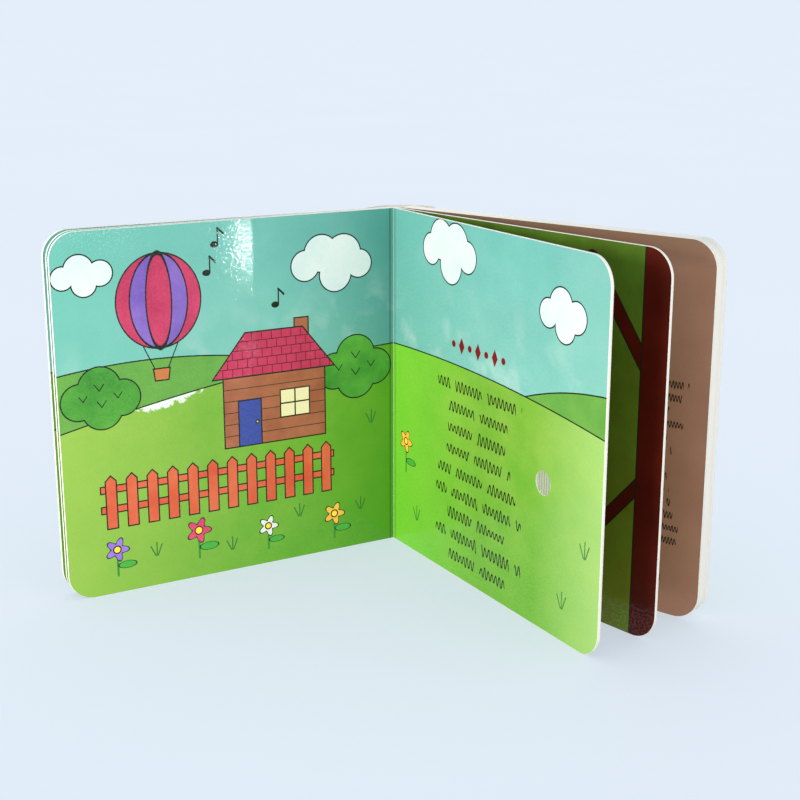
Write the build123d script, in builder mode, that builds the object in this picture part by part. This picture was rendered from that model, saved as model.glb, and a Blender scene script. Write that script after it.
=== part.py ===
from build123d import *
from math import cos, hypot, radians, sin
import os

# Musical board book, standing open on its lower edges.
# +Z is up. The origin is on the foot of the book, at the heart of the folded page backs.
# The reader looks along +Y: the picture leaves open to the left, the others fan to the right.
# All lengths are in millimetres.

# Page format
page_width = 160.0
page_height = 160.0
corner_radius = 11.5
leaf_thickness = 1.4
fold_radius_leaves = 2.5

# Fan of the leaves and covers, as angles in plan from the X axis, in degrees
picture_leaf_angle = 29.6
inner_left_leaf_angle = 28.9
front_cover_angle = 27.4
text_leaf_angle = 60.0
inner_right_leaf_angle = 49.4
sound_block_angle = 39.6

# Covers and the loose spine strip of the wrap
cover_thickness = 2.0
wrap_thickness = 0.6
front_crease = 12.0
back_crease = 14.0
crease_gap = 0.3
spine_rise = 3.2
crown_share = 0.62

# Thick back block that holds the sound unit
lining_thickness = 1.4
frame_thickness = 5.4
block_fold_along = 1.0
block_fold_gap = 0.3
block_fold_turn = 60.0

# Light windows
window_diameter = 10.0
window_from_fore_edge = 38.5
window_height = 63.0
window_thickness = 0.8
window_recess = 0.3
window_clearance = 0.1
rib_count = 5
rib_width = 0.8
rib_height = 0.25

# Sound unit: tray and closing plate
unit_width = 84.0
unit_height = 60.0
unit_corner_radius = 4.0
window_to_unit_side = 12.5
window_above_unit_foot = 31.0
unit_clearance = 0.3
wall = 1.2
floor_thickness = 1.0
plate_thickness = 1.0
assembly_gap = 0.1
overrun = 1.0

# Battery bay in the tray
cell_diameter = 11.6
cell_thickness = 3.05
cell_edge = 0.4
cell_count = 3
cell_pitch = 12.8
cell_clearance = 0.4
bay_from_unit_side = 17.0
bay_above_unit_foot = 4.6
bay_floor_thickness = 0.8
rim_corner_radius = 1.5
rim_wall = 1.5
ledge = 1.2
hinge_end = 2.4
contact_thickness = 0.3
contact_corner_radius = 1.0
contact_height_share = 0.6
contact_width_share = 0.7
side_contact_share = 0.8
tail_width = 1.5
tail_rise = 3.2

# Battery door with its captive screw
door_thickness = 1.4
door_clearance = 0.2
door_tab_length = 9.0
tongue_width = 3.0
tongue_length = 0.9
tongue_thickness = 0.8
tongue_spacing = 7.0
tongue_root = 0.6
slot_clearance = 0.3
door_screw_diameter = 2.0
door_screw_head_diameter = 3.8
door_screw_head_height = 0.7
door_screw_length = 4.6
screw_hole_clearance = 0.35
drive_width = 0.5
drive_depth = 0.45

# Loudspeaker
speaker_diameter = 29.0
speaker_flange_width = 2.2
speaker_flange_thickness = 0.7
speaker_height = 3.3
magnet_diameter = 14.0
magnet_thickness = 1.4
basket_wall = 0.5
cone_thickness = 0.2
cone_cap_diameter = 11.0
cone_cap_height = 0.8
speaker_from_unit_side = 22.0
speaker_below_unit_top = 18.6
sound_hole_diameter = 2.8
sound_hole_pitch = 5.2
sound_hole_count = 7
grille_share = 0.65
grille_slot_count = 5
grille_slot_width = 1.8
seat_rib_count = 4
seat_rib_length = 9.0
seat_rib_angle = 45.0
seat_wall = 1.0
seat_height = 1.6

# Circuit board
board_width = 30.0
board_height = 24.0
board_thickness = 1.0
board_side_to_sensor = 24.5
board_foot_to_sensor = 3.5
board_post_height = 1.3
board_post_diameter = 3.2
board_pin_diameter = 1.6
board_pin_inset = 2.6
board_pin_rise = 0.5
board_edge_radius = 0.8
chip_diameter = 9.0
chip_height = 1.0
chip_top_share = 0.55
sensor_diameter = 5.0
sensor_height = 1.5
sensor_flange_height = 0.5
sensor_flange_width = 0.4

# Screws that close the sound unit
unit_screw_diameter = 1.8
unit_screw_head_diameter = 3.4
unit_screw_head_height = 0.6
unit_screw_length = 3.4
boss_diameter = 5.0
boss_inset = 3.4

# Flat leads from the contacts and the loudspeaker to the circuit board
lead_thickness = 0.7
lead_width = 1.2
speaker_lead_width = 2.0
lead_bend_radius = 3.0
lead_lap = 3.5
lead_spacing = 3.75

os.makedirs("parts", exist_ok=True)

up = Vector(0, 0, 1)
LEFT = -1
RIGHT = 1


def plan_vector(heading, length=1):
    """A horizontal vector of the given heading in degrees."""
    return Vector(length * cos(radians(heading)), length * sin(radians(heading)), 0)


def outward(heading, side):
    """Unit vector from a leaf's printed face to its back, away from the reader."""
    return plan_vector(heading + 90 * side)


def leaf_plane(foot, heading, side, depth=0):
    """Upright plane parallel to a leaf, with X from the spine to the fore-edge and Y up."""
    back = outward(heading, side)
    return Plane(origin=foot + back * depth, x_dir=plan_vector(heading), z_dir=back * -side)


def board_face(plane, near_edge):
    """Outline of a board, square at the spine and rounded at the fore-edge."""
    with BuildSketch(plane) as outline:
        with Locations(((near_edge + page_width) / 2, page_height / 2)):
            Rectangle(page_width - near_edge, page_height)
        fillet(outline.vertices().group_by(Axis.X)[-1], corner_radius)
    return outline.sketch


# Places in plan: each leaf starts at the outer corner of the leaf before it
gutter = Vector(0, -leaf_thickness, 0)
picture_heading = 180 + picture_leaf_angle
inner_left_heading = 180 + inner_left_leaf_angle
cover_heading = 180 + front_cover_angle
text_heading = -text_leaf_angle
inner_right_heading = -inner_right_leaf_angle
block_heading = -sound_block_angle

inner_left_foot = gutter + outward(picture_heading, LEFT) * leaf_thickness
margin_foot = inner_left_foot + outward(inner_left_heading, LEFT) * leaf_thickness
inner_right_foot = gutter + outward(text_heading, RIGHT) * leaf_thickness
fold_foot = inner_right_foot + outward(inner_right_heading, RIGHT) * leaf_thickness
fold_heading = inner_right_heading + block_fold_turn
block_foot = fold_foot + plan_vector(fold_heading, block_fold_along + block_fold_gap)

block_along = plan_vector(block_heading)
block_back = outward(block_heading, RIGHT)
block_thickness = lining_thickness + frame_thickness + cover_thickness


def block_plane(depth):
    """Upright plane in the sound block, its normal towards the reader."""
    return leaf_plane(block_foot, block_heading, RIGHT, depth)


def block_axis(along, height):
    """Axis through the block, square to its pages, pointing away from the reader."""
    return Axis(block_foot + block_along * along + up * height, block_back)


def block_section(along, height):
    """Horizontal plane through the block: X along the page, Y the depth behind its face."""
    origin = block_foot + block_along * along + up * height
    return Plane(origin=origin, x_dir=block_along, z_dir=up)


# Pages: four leaves and the folded backs that hold them, glued into one piece
window_from_spine = page_width - window_from_fore_edge
fold_radius = fold_radius_leaves * leaf_thickness
margin_lap = leaf_thickness / 2

with BuildPart() as pages:
    extrude(board_face(leaf_plane(gutter, picture_heading, LEFT), 0), amount=leaf_thickness)
    extrude(board_face(leaf_plane(inner_left_foot, inner_left_heading, LEFT), 0), amount=leaf_thickness)
    extrude(board_face(leaf_plane(gutter, text_heading, RIGHT), 0), amount=-leaf_thickness)
    extrude(board_face(leaf_plane(inner_right_foot, inner_right_heading, RIGHT), 0), amount=-leaf_thickness)
    # Hinge margin of the front cover's board, glued to the leaf beside it
    with BuildSketch(leaf_plane(margin_foot, cover_heading, LEFT)):
        with Locations(((front_crease - crease_gap - margin_lap) / 2, page_height / 2)):
            Rectangle(front_crease - crease_gap + margin_lap, page_height)
    extrude(amount=leaf_thickness)
    # Backs of the folds, fanned round the gutter
    with BuildSketch(Plane.XY):
        with BuildLine():
            back_arc = CenterArc(
                gutter, fold_radius, text_heading + 90, picture_heading - text_heading - 180
            )
            Line(gutter, back_arc @ 0)
            Line(gutter, back_arc @ 1)
        make_face()
    extrude(amount=page_height)
    # Fold that carries the sound block
    with BuildSketch(Plane(origin=fold_foot, x_dir=plan_vector(fold_heading), z_dir=up)):
        with Locations(((block_fold_along - fold_radius / 2) / 2, 0)):
            Rectangle(block_fold_along + fold_radius / 2, leaf_thickness / 2)
    extrude(amount=page_height)
    # Holes for the light windows
    for foot, heading in ((gutter, text_heading), (inner_right_foot, inner_right_heading)):
        with BuildSketch(leaf_plane(foot, heading, RIGHT, -overrun)):
            with Locations((window_from_spine, window_height)):
                Circle(window_diameter / 2)
        extrude(amount=-(leaf_thickness + 2 * overrun), mode=Mode.SUBTRACT)

pages.part.label = "pages"
export_step(pages.part, "parts/pages.step")


# Light windows: ribbed discs, one in each punched leaf and one in the block's lining
def window_disc(plane):
    """A ribbed disc with its ribs towards the reader, standing on the given plane."""
    with BuildPart() as disc:
        with BuildSketch(plane):
            with Locations((window_from_spine, window_height)):
                Circle(window_diameter / 2 - window_clearance)
        extrude(amount=-window_thickness)
        with BuildSketch(plane) as ribs:
            with Locations((window_from_spine, window_height)):
                with GridLocations(window_diameter / (rib_count + 1), 0, rib_count, 1):
                    Rectangle(rib_width, window_diameter)
            with Locations((window_from_spine, window_height)):
                Circle(window_diameter / 2 - window_clearance, mode=Mode.INTERSECT)
        extrude(amount=rib_height)
    return disc.part


window_places = {
    "text_leaf_window": leaf_plane(gutter, text_heading, RIGHT, window_recess),
    "inner_leaf_window": leaf_plane(inner_right_foot, inner_right_heading, RIGHT, window_recess),
    "lining_window": block_plane(window_recess),
}
for name, place in window_places.items():
    disc = window_disc(place)
    disc.label = name
    export_step(disc, f"parts/{name}.step")

# Front cover: board and wrap glued together, from its crease to the fore-edge
with BuildPart() as front_cover:
    extrude(
        board_face(leaf_plane(margin_foot, cover_heading, LEFT), front_crease), amount=cover_thickness
    )
front_cover.part.label = "front_cover"
export_step(front_cover.part, "parts/front_cover.step")

# Spine strip: the loose part of the wrap, from one crease over the page backs to the other
cover_back = outward(cover_heading, LEFT)
front_strip_end = (
    margin_foot + plan_vector(cover_heading, front_crease - crease_gap) + cover_back * cover_thickness
)
back_strip_end = block_foot + block_along * (back_crease - crease_gap) + block_back * block_thickness
strip_crown = Vector(
    front_strip_end.X + crown_share * (back_strip_end.X - front_strip_end.X),
    (block_foot + block_back * block_thickness).Y + spine_rise,
    0,
)


def crown_arc(end, inset):
    """Arc from a crease to the strip's crown, level there, inset from the outer face."""
    reach = end.X - strip_crown.X
    drop = strip_crown.Y - end.Y
    radius = (reach**2 + drop**2) / (2 * drop)
    centre = strip_crown - Vector(0, radius, 0)
    start = (end - centre).normalized()
    middle = (start + Vector(0, 1, 0)).normalized()
    inner = radius - inset
    return ThreePointArc(centre + start * inner, centre + middle * inner, centre + Vector(0, inner, 0))


with BuildPart() as spine_strip:
    with BuildSketch(Plane.XY):
        with BuildLine():
            front_outer = crown_arc(front_strip_end, 0)
            back_outer = crown_arc(back_strip_end, 0)
            front_inner = crown_arc(front_strip_end, wrap_thickness)
            back_inner = crown_arc(back_strip_end, wrap_thickness)
            Line(front_outer @ 0, front_inner @ 0)
            Line(back_outer @ 0, back_inner @ 0)
        make_face()
    extrude(amount=page_height)
spine_strip.part.label = "spine_strip"
export_step(spine_strip.part, "parts/spine_strip.step")

# Depths in the sound block, behind the face of its lining
frame_back = lining_thickness + frame_thickness
plate_back = lining_thickness + plate_thickness
floor_front = frame_back - floor_thickness
door_front = block_thickness - door_thickness
bay_floor = door_front - cell_thickness - 2 * contact_thickness - 2 * assembly_gap
bay_floor_front = bay_floor - bay_floor_thickness

# Places in the sound block, as distances along the page and above the foot
unit_right = window_from_spine + window_to_unit_side
unit_left = unit_right - unit_width
unit_foot = window_height - window_above_unit_foot
unit_top = unit_foot + unit_height
unit_centre = ((unit_left + unit_right) / 2, (unit_foot + unit_top) / 2)
bay_length = cell_pitch * (cell_count - 1) + cell_diameter + 2 * cell_clearance
bay_height = cell_diameter + 2 * cell_clearance
bay_left = unit_left + bay_from_unit_side
bay_right = bay_left + bay_length
bay_middle = unit_foot + bay_above_unit_foot + bay_height / 2
door_left = bay_left - hinge_end
door_right = bay_right + door_tab_length
door_length = door_right - door_left
door_height = bay_height + 2 * ledge
door_centre = ((door_left + door_right) / 2, bay_middle)
door_screw_place = ((bay_right + door_right) / 2, bay_middle)
rim_length = door_length + 2 * (door_clearance + rim_wall)
rim_height = door_height + 2 * (door_clearance + rim_wall)
hinge_along = door_left + door_thickness
relief_left = hinge_along - door_thickness - tongue_length - slot_clearance
relief_depth = hypot(door_thickness + tongue_length, tongue_thickness) + slot_clearance
relief_height = door_height + 2 * door_clearance
first_cell = bay_left + cell_clearance + cell_diameter / 2
cell_places = [first_cell + number * cell_pitch for number in range(cell_count)]
tail_places = (cell_places[0], bay_right - tail_width / 2)
tail_top = bay_middle + bay_height / 2 + wall + tail_rise
tail_middle = (bay_middle + tail_top) / 2
speaker_place = (unit_left + speaker_from_unit_side, unit_top - speaker_below_unit_top)
board_left = window_from_spine - board_side_to_sensor
board_foot = window_height - board_foot_to_sensor
board_centre = (board_left + board_width / 2, board_foot + board_height / 2)
basket_radius = speaker_diameter / 2 - speaker_flange_width
grille_side = 2 * basket_radius * grille_share
grille_pitch = (grille_side - grille_slot_width) / (grille_slot_count - 1)
head_seat = lining_thickness + unit_screw_head_height
board_back = floor_front - board_post_height
board_front = board_back - board_thickness
sensor_place = (window_from_spine, window_height)


def block_extrude(shape, start, end, mode=Mode.ADD):
    """Extrude a flat shape drawn at the given depth to another depth of the sound block."""
    extrude(shape, amount=start - end, mode=mode)


def rectangle_at(depth, centre, width, height, radius=0):
    """Rectangle, sharp or rounded, in the upright plane at a depth of the sound block."""
    with BuildSketch(block_plane(depth)) as flat:
        with Locations(centre):
            if radius:
                RectangleRounded(width, height, radius)
            else:
                Rectangle(width, height)
    return flat.sketch


def circles_at(depth, places, diameter):
    """Circles of one diameter in the upright plane at a depth of the sound block."""
    with BuildSketch(block_plane(depth)) as flat:
        with Locations(places):
            Circle(diameter / 2)
    return flat.sketch


def sound_hole_places():
    """Centre hole and a ring of holes in front of the loudspeaker."""
    places = [speaker_place]
    ring_count = sound_hole_count - 1
    for number in range(ring_count):
        turn = radians(360 * number / ring_count)
        across = speaker_place[0] + sound_hole_pitch * cos(turn)
        places.append((across, speaker_place[1] + sound_hole_pitch * sin(turn)))
    return places


screw_across = unit_width / 2 - boss_inset
screw_rise = unit_height / 2 - boss_inset
corner_screw_places = [
    (unit_centre[0] + side * screw_across, unit_centre[1] + side * screw_rise)
    for side in (-1, 1)
]
board_pin_across = board_width / 2 - board_pin_inset
board_pin_height = board_centre[1] + board_height / 2 - board_pin_inset
board_pin_places = [
    (board_centre[0] + across * board_pin_across, board_pin_height)
    for across in (-1, 1)
]

# Lining of the block: the last printed board, with the hole of its light window
with BuildPart() as block_lining:
    extrude(board_face(block_plane(0), 0), amount=-lining_thickness)
    block_extrude(
        circles_at(-overrun, [sensor_place], window_diameter),
        -overrun,
        lining_thickness + overrun,
        Mode.SUBTRACT,
    )
block_lining.part.label = "block_lining"
export_step(block_lining.part, "parts/block_lining.step")

# Frame of the block: thick board with a cut-out that holds the sound unit
with BuildPart() as block_frame:
    extrude(board_face(block_plane(lining_thickness), 0), amount=-frame_thickness)
    block_extrude(
        rectangle_at(
            lining_thickness - overrun,
            unit_centre,
            unit_width + 2 * unit_clearance,
            unit_height + 2 * unit_clearance,
            unit_corner_radius + unit_clearance,
        ),
        lining_thickness - overrun,
        frame_back + overrun,
        Mode.SUBTRACT,
    )
block_frame.part.label = "block_frame"
export_step(block_frame.part, "parts/block_frame.step")

# Back cover: board and wrap, with the opening of the battery bay and the sound holes
with BuildPart() as back_cover:
    extrude(board_face(block_plane(frame_back), back_crease), amount=-cover_thickness)
    block_extrude(
        rectangle_at(
            frame_back - overrun,
            door_centre,
            rim_length + 2 * unit_clearance,
            rim_height + 2 * unit_clearance,
            rim_corner_radius + unit_clearance,
        ),
        frame_back - overrun,
        block_thickness + overrun,
        Mode.SUBTRACT,
    )
    block_extrude(
        circles_at(frame_back - overrun, sound_hole_places(), sound_hole_diameter),
        frame_back - overrun,
        block_thickness + overrun,
        Mode.SUBTRACT,
    )
back_cover.part.label = "back_cover"
export_step(back_cover.part, "parts/back_cover.step")

# Tray of the sound unit: one moulding with the battery bay, speaker seat, posts and bosses
with BuildPart() as unit_tray:
    block_extrude(
        rectangle_at(frame_back, unit_centre, unit_width, unit_height, unit_corner_radius),
        frame_back,
        plate_back,
    )
    block_extrude(
        rectangle_at(
            plate_back - overrun,
            unit_centre,
            unit_width - 2 * wall,
            unit_height - 2 * wall,
            unit_corner_radius - wall,
        ),
        plate_back - overrun,
        floor_front,
        Mode.SUBTRACT,
    )
    # Rim that reaches through the back cover, and the box of the bay behind it
    block_extrude(
        rectangle_at(floor_front, door_centre, rim_length, rim_height, rim_corner_radius),
        floor_front,
        block_thickness,
    )
    bay_box_left = relief_left - wall
    bay_box_right = bay_right + wall
    block_extrude(
        rectangle_at(
            bay_floor_front,
            ((bay_box_left + bay_box_right) / 2, bay_middle),
            bay_box_right - bay_box_left,
            bay_height + 2 * wall,
        ),
        bay_floor_front,
        frame_back,
    )
    # Taller box round the relief in which the hinge end of the door turns
    relief_back_wall = door_front - relief_depth - bay_floor_thickness
    block_extrude(
        rectangle_at(
            relief_back_wall,
            ((bay_box_left + bay_left + wall) / 2, bay_middle),
            bay_left + wall - bay_box_left,
            relief_height + 2 * wall,
        ),
        relief_back_wall,
        frame_back,
    )
    # Boss of the door screw
    block_extrude(
        circles_at(bay_floor_front, [door_screw_place], boss_diameter), bay_floor_front, frame_back
    )
    # Bosses in two opposite corners, ribs that seat the speaker, and board posts
    block_extrude(circles_at(floor_front, corner_screw_places, boss_diameter), floor_front, plate_back)
    with BuildSketch(block_plane(floor_front)) as seat:
        seat_radius = (speaker_diameter + seat_wall) / 2 + assembly_gap
        with Locations(speaker_place):
            with PolarLocations(seat_radius, seat_rib_count, start_angle=seat_rib_angle):
                Rectangle(seat_wall, seat_rib_length)
    block_extrude(seat.sketch, floor_front, floor_front - seat_height)
    block_extrude(circles_at(floor_front, board_pin_places, board_post_diameter), floor_front, board_back)
    block_extrude(
        circles_at(board_back, board_pin_places, board_pin_diameter),
        board_back,
        board_front - board_pin_rise,
    )
    # Bay cavity, relief for the tongues and pocket of the door
    block_extrude(
        rectangle_at(bay_floor, ((bay_left + bay_right) / 2, bay_middle), bay_length, bay_height),
        bay_floor,
        block_thickness + overrun,
        Mode.SUBTRACT,
    )
    block_extrude(
        rectangle_at(
            door_front - relief_depth,
            ((relief_left + bay_left) / 2, bay_middle),
            bay_left - relief_left,
            relief_height,
        ),
        door_front - relief_depth,
        block_thickness + overrun,
        Mode.SUBTRACT,
    )
    # Slots for the tails of the contacts
    for across in tail_places:
        block_extrude(
            rectangle_at(
                bay_floor,
                (across, bay_middle + bay_height / 2 + wall / 2),
                tail_width + 2 * assembly_gap,
                wall + 2 * assembly_gap,
            ),
            bay_floor,
            bay_floor + contact_thickness + assembly_gap,
            Mode.SUBTRACT,
        )
    block_extrude(
        rectangle_at(
            door_front,
            door_centre,
            door_length + 2 * door_clearance,
            door_height + 2 * door_clearance,
        ),
        door_front,
        block_thickness + overrun,
        Mode.SUBTRACT,
    )
    # Screw holes and the grille of sound slots
    screw_hole_diameter = door_screw_diameter + 2 * screw_hole_clearance
    block_extrude(
        circles_at(door_front + overrun, [door_screw_place], screw_hole_diameter),
        door_front + overrun,
        block_thickness - door_screw_length - slot_clearance,
        Mode.SUBTRACT,
    )
    block_extrude(
        circles_at(plate_back - overrun, corner_screw_places, unit_screw_diameter + assembly_gap),
        plate_back - overrun,
        lining_thickness + unit_screw_length + slot_clearance,
        Mode.SUBTRACT,
    )
    with BuildSketch(block_plane(floor_front - overrun)) as grille:
        with Locations(speaker_place):
            with GridLocations(grille_pitch, 0, grille_slot_count, 1):
                Rectangle(grille_slot_width, grille_side)
    block_extrude(grille.sketch, floor_front - overrun, frame_back + overrun, Mode.SUBTRACT)
unit_tray.part.label = "unit_tray"
export_step(unit_tray.part, "parts/unit_tray.step")

# Plate that closes the tray on the page side
with BuildPart() as unit_plate:
    block_extrude(
        rectangle_at(lining_thickness, unit_centre, unit_width, unit_height, unit_corner_radius),
        lining_thickness,
        plate_back,
    )
    block_extrude(
        circles_at(lining_thickness - overrun, [sensor_place], sensor_diameter + 2 * unit_clearance),
        lining_thickness - overrun,
        plate_back + overrun,
        Mode.SUBTRACT,
    )
    # Counterbored screw holes
    for diameter, depth in (
        (unit_screw_head_diameter, head_seat),
        (unit_screw_diameter, plate_back + overrun),
    ):
        block_extrude(
            circles_at(lining_thickness - overrun, corner_screw_places, diameter + 2 * assembly_gap),
            lining_thickness - overrun,
            depth,
            Mode.SUBTRACT,
        )
unit_plate.part.label = "unit_plate"
export_step(unit_plate.part, "parts/unit_plate.step")


def turned(places, profile):
    """Solids turned from one half profile of (radius, depth) points, one at each place."""
    with BuildPart() as turning:
        for place in places:
            with BuildSketch(block_section(*place)):
                with BuildLine():
                    Polyline(*profile, close=True)
                make_face()
            revolve(axis=block_axis(*place))
    return turning.part


# Flat-headed screws that hold the plate on the tray
unit_screws = turned(
    corner_screw_places,
    [
        (0, lining_thickness + assembly_gap),
        (unit_screw_head_diameter / 2, lining_thickness + assembly_gap),
        (unit_screw_head_diameter / 2, head_seat),
        (unit_screw_diameter / 2, head_seat),
        (unit_screw_diameter / 2, lining_thickness + unit_screw_length),
        (0, lining_thickness + unit_screw_length),
    ],
)
unit_screws.label = "unit_screws"
export_step(unit_screws, "parts/unit_screws.step")

# Loudspeaker: pressed basket, magnet and a film cone with a glued cap
basket_front = floor_front - speaker_flange_thickness
magnet_front = floor_front - speaker_height
basket_back = magnet_front + magnet_thickness
speaker_frame = turned(
    [speaker_place],
    [
        (0, basket_back),
        (basket_radius + basket_wall, basket_back),
        (basket_radius + basket_wall, basket_front),
        (speaker_diameter / 2, basket_front),
        (speaker_diameter / 2, floor_front),
        (basket_radius, floor_front),
        (basket_radius, basket_back + basket_wall),
        (0, basket_back + basket_wall),
    ],
)
speaker_frame.label = "speaker_frame"
export_step(speaker_frame, "parts/speaker_frame.step")

speaker_magnet = turned(
    [speaker_place],
    [
        (0, magnet_front),
        (magnet_diameter / 2, magnet_front),
        (magnet_diameter / 2, basket_back),
        (0, basket_back),
    ],
)
speaker_magnet.label = "speaker_magnet"
export_step(speaker_magnet, "parts/speaker_magnet.step")

cone_rim = basket_radius - assembly_gap
cone_cap_radius = cone_cap_diameter / 2
cone_back = floor_front - assembly_gap
cone_rim_back = cone_back - cone_cap_height
speaker_cone = turned(
    [speaker_place],
    [
        (0, cone_back),
        (cone_cap_radius, cone_back),
        (cone_cap_radius, cone_rim_back),
        (cone_rim, cone_rim_back),
        (cone_rim, cone_rim_back - cone_thickness),
        (0, cone_rim_back - cone_thickness),
    ],
)
speaker_cone.label = "speaker_cone"
export_step(speaker_cone, "parts/speaker_cone.step")

# Circuit board on its two posts, with the moulded chip and the light sensor
with BuildPart() as circuit_board:
    block_extrude(
        rectangle_at(board_front, board_centre, board_width, board_height, board_edge_radius),
        board_front,
        board_back,
    )
    block_extrude(
        circles_at(board_front - overrun, board_pin_places, board_pin_diameter + 2 * assembly_gap),
        board_front - overrun,
        board_back + overrun,
        Mode.SUBTRACT,
    )
circuit_board.part.label = "circuit_board"
export_step(circuit_board.part, "parts/circuit_board.step")

chip_dome = turned(
    [board_centre],
    [
        (0, board_front),
        (chip_diameter / 2, board_front),
        (chip_diameter / 2 * chip_top_share, board_front - chip_height),
        (0, board_front - chip_height),
    ],
)
chip_dome.label = "chip_dome"
export_step(chip_dome, "parts/chip_dome.step")

light_sensor = turned(
    [sensor_place],
    [
        (0, board_front),
        (sensor_diameter / 2, board_front),
        (sensor_diameter / 2, board_front - sensor_flange_height),
        (sensor_diameter / 2 - sensor_flange_width, board_front - sensor_flange_height),
        (sensor_diameter / 2 - sensor_flange_width, board_front - sensor_height),
        (0, board_front - sensor_height),
    ],
)
light_sensor.label = "light_sensor"
export_step(light_sensor, "parts/light_sensor.step")

# Button cells, side by side in the bay
cell_front = bay_floor + contact_thickness + assembly_gap
cell_back = cell_front + cell_thickness
for number, place in enumerate(cell_places, 1):
    cell = turned(
        [(place, bay_middle)],
        [
            (0, cell_front),
            (cell_diameter / 2, cell_front),
            (cell_diameter / 2, cell_back - cell_edge),
            (cell_diameter / 2 - cell_edge, cell_back),
            (0, cell_back),
        ],
    )
    cell.label = f"button_cell_{number}"
    export_step(cell, f"parts/button_cell_{number}.step")

# Contact plates: two on the bay floor, one under the door, and a strip beside the last cell
plate_height = cell_diameter * contact_height_share
end_contact_width = cell_diameter * contact_width_share
link_width = cell_pitch + end_contact_width


def contact_plate(depth, along, width):
    """Flat spring plate across the bay, its page-side face at the given depth."""
    with BuildPart() as plate:
        block_extrude(
            rectangle_at(depth, (along, bay_middle), width, plate_height, contact_corner_radius),
            depth,
            depth + contact_thickness,
        )
    return plate.part


with BuildPart() as end_contact:
    add(contact_plate(bay_floor, cell_places[0], end_contact_width))
    block_extrude(
        rectangle_at(bay_floor, (tail_places[0], tail_middle), tail_width, tail_top - bay_middle),
        bay_floor,
        bay_floor + contact_thickness,
    )

with BuildPart() as side_contact:
    strip_across = bay_right - contact_thickness / 2
    block_extrude(
        rectangle_at(bay_floor, (strip_across, bay_middle), contact_thickness, plate_height),
        bay_floor,
        bay_floor + cell_thickness * side_contact_share,
    )
    block_extrude(
        rectangle_at(bay_floor, (tail_places[1], tail_middle), tail_width, tail_top - bay_middle),
        bay_floor,
        bay_floor + contact_thickness,
    )

contacts = {
    "end_contact": end_contact.part,
    "side_contact": side_contact.part,
    "link_contact": contact_plate(bay_floor, (cell_places[1] + cell_places[2]) / 2, link_width),
    "door_contact": contact_plate(
        door_front - contact_thickness, (cell_places[0] + cell_places[1]) / 2, link_width
    ),
}
for name, contact in contacts.items():
    contact.label = name
    export_step(contact, f"parts/{name}.step")

# Flat leads, soldered on the page side of the tails, the loudspeaker and the board
lead_height = tail_top - lead_width / 2
speaker_edge = speaker_place[0] + basket_radius - lead_lap
lead_routes = {
    "long_battery_lead": (
        lead_width,
        [
            (tail_places[0] - tail_width / 2, lead_height),
            (tail_places[1] - lead_spacing, lead_height),
            (board_left + lead_lap, board_foot + lead_lap),
        ],
    ),
    "short_battery_lead": (
        lead_width,
        [
            (tail_places[1], lead_height),
            (board_left + lead_lap + lead_spacing, board_foot + lead_lap),
        ],
    ),
    "speaker_lead": (
        speaker_lead_width,
        [
            (speaker_edge, speaker_place[1]),
            (board_left - lead_lap, speaker_place[1]),
            (board_left + lead_lap, speaker_place[1] + lead_lap),
        ],
    ),
}
for name, (width, route) in lead_routes.items():
    with BuildPart() as lead:
        with BuildSketch(block_plane(board_front)):
            with BuildLine():
                if len(route) > 2:
                    FilletPolyline(*route, radius=lead_bend_radius)
                else:
                    Line(*route)
            trace(line_width=width)
        extrude(amount=lead_thickness)
    lead.part.label = name
    export_step(lead.part, f"parts/{name}.step")

# Battery door: a lid with a rounded hinge end, two tongues and a tab for its screw
with BuildPart() as battery_door:
    hinge_section = Plane(
        origin=block_foot + up * (bay_middle - door_height / 2), x_dir=block_along, z_dir=up
    )
    with BuildSketch(hinge_section):
        with BuildLine():
            Polyline(
                (hinge_along, block_thickness),
                (door_right, block_thickness),
                (door_right, door_front),
                (door_left, door_front),
            )
            RadiusArc((door_left, door_front), (hinge_along, block_thickness), door_thickness)
        make_face()
    extrude(amount=door_height)
    with BuildSketch(block_plane(door_front - tongue_thickness)):
        with Locations((door_left + (tongue_root - tongue_length) / 2, bay_middle)):
            with GridLocations(0, tongue_spacing, 1, 2):
                Rectangle(tongue_root + tongue_length, tongue_width)
    extrude(amount=-tongue_thickness)
    head_hole_diameter = door_screw_head_diameter + 2 * door_clearance
    block_extrude(
        circles_at(block_thickness + overrun, [door_screw_place], head_hole_diameter),
        block_thickness + overrun,
        block_thickness - door_screw_head_height - assembly_gap,
        Mode.SUBTRACT,
    )
    block_extrude(
        circles_at(block_thickness + overrun, [door_screw_place], door_screw_diameter + 2 * door_clearance),
        block_thickness + overrun,
        door_front - overrun,
        Mode.SUBTRACT,
    )
battery_door.part.label = "battery_door"
export_step(battery_door.part, "parts/battery_door.step")

# Captive screw of the door, with a cross recess in its head
screw_back = block_thickness - assembly_gap
screw_head_front = block_thickness - door_screw_head_height
with BuildPart() as door_screw:
    with BuildSketch(block_section(*door_screw_place)):
        with BuildLine():
            Polyline(
                (0, screw_back),
                (door_screw_head_diameter / 2 - assembly_gap, screw_back),
                (door_screw_head_diameter / 2, screw_back - assembly_gap),
                (door_screw_head_diameter / 2, screw_head_front),
                (door_screw_diameter / 2, screw_head_front),
                (door_screw_diameter / 2, block_thickness - door_screw_length),
                (0, block_thickness - door_screw_length),
                close=True,
            )
        make_face()
    revolve(axis=block_axis(*door_screw_place))
    with BuildSketch(block_plane(screw_back + overrun)) as recess:
        with Locations(door_screw_place):
            Rectangle(door_screw_diameter, drive_width)
            Rectangle(drive_width, door_screw_diameter)
    block_extrude(recess.sketch, screw_back + overrun, screw_back - drive_depth, Mode.SUBTRACT)
door_screw.part.label = "door_screw"
export_step(door_screw.part, "parts/door_screw.step")
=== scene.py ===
from math import atan2, cos, pi, radians, sin

import bmesh
import bpy
from mathutils import Matrix, Vector


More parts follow.
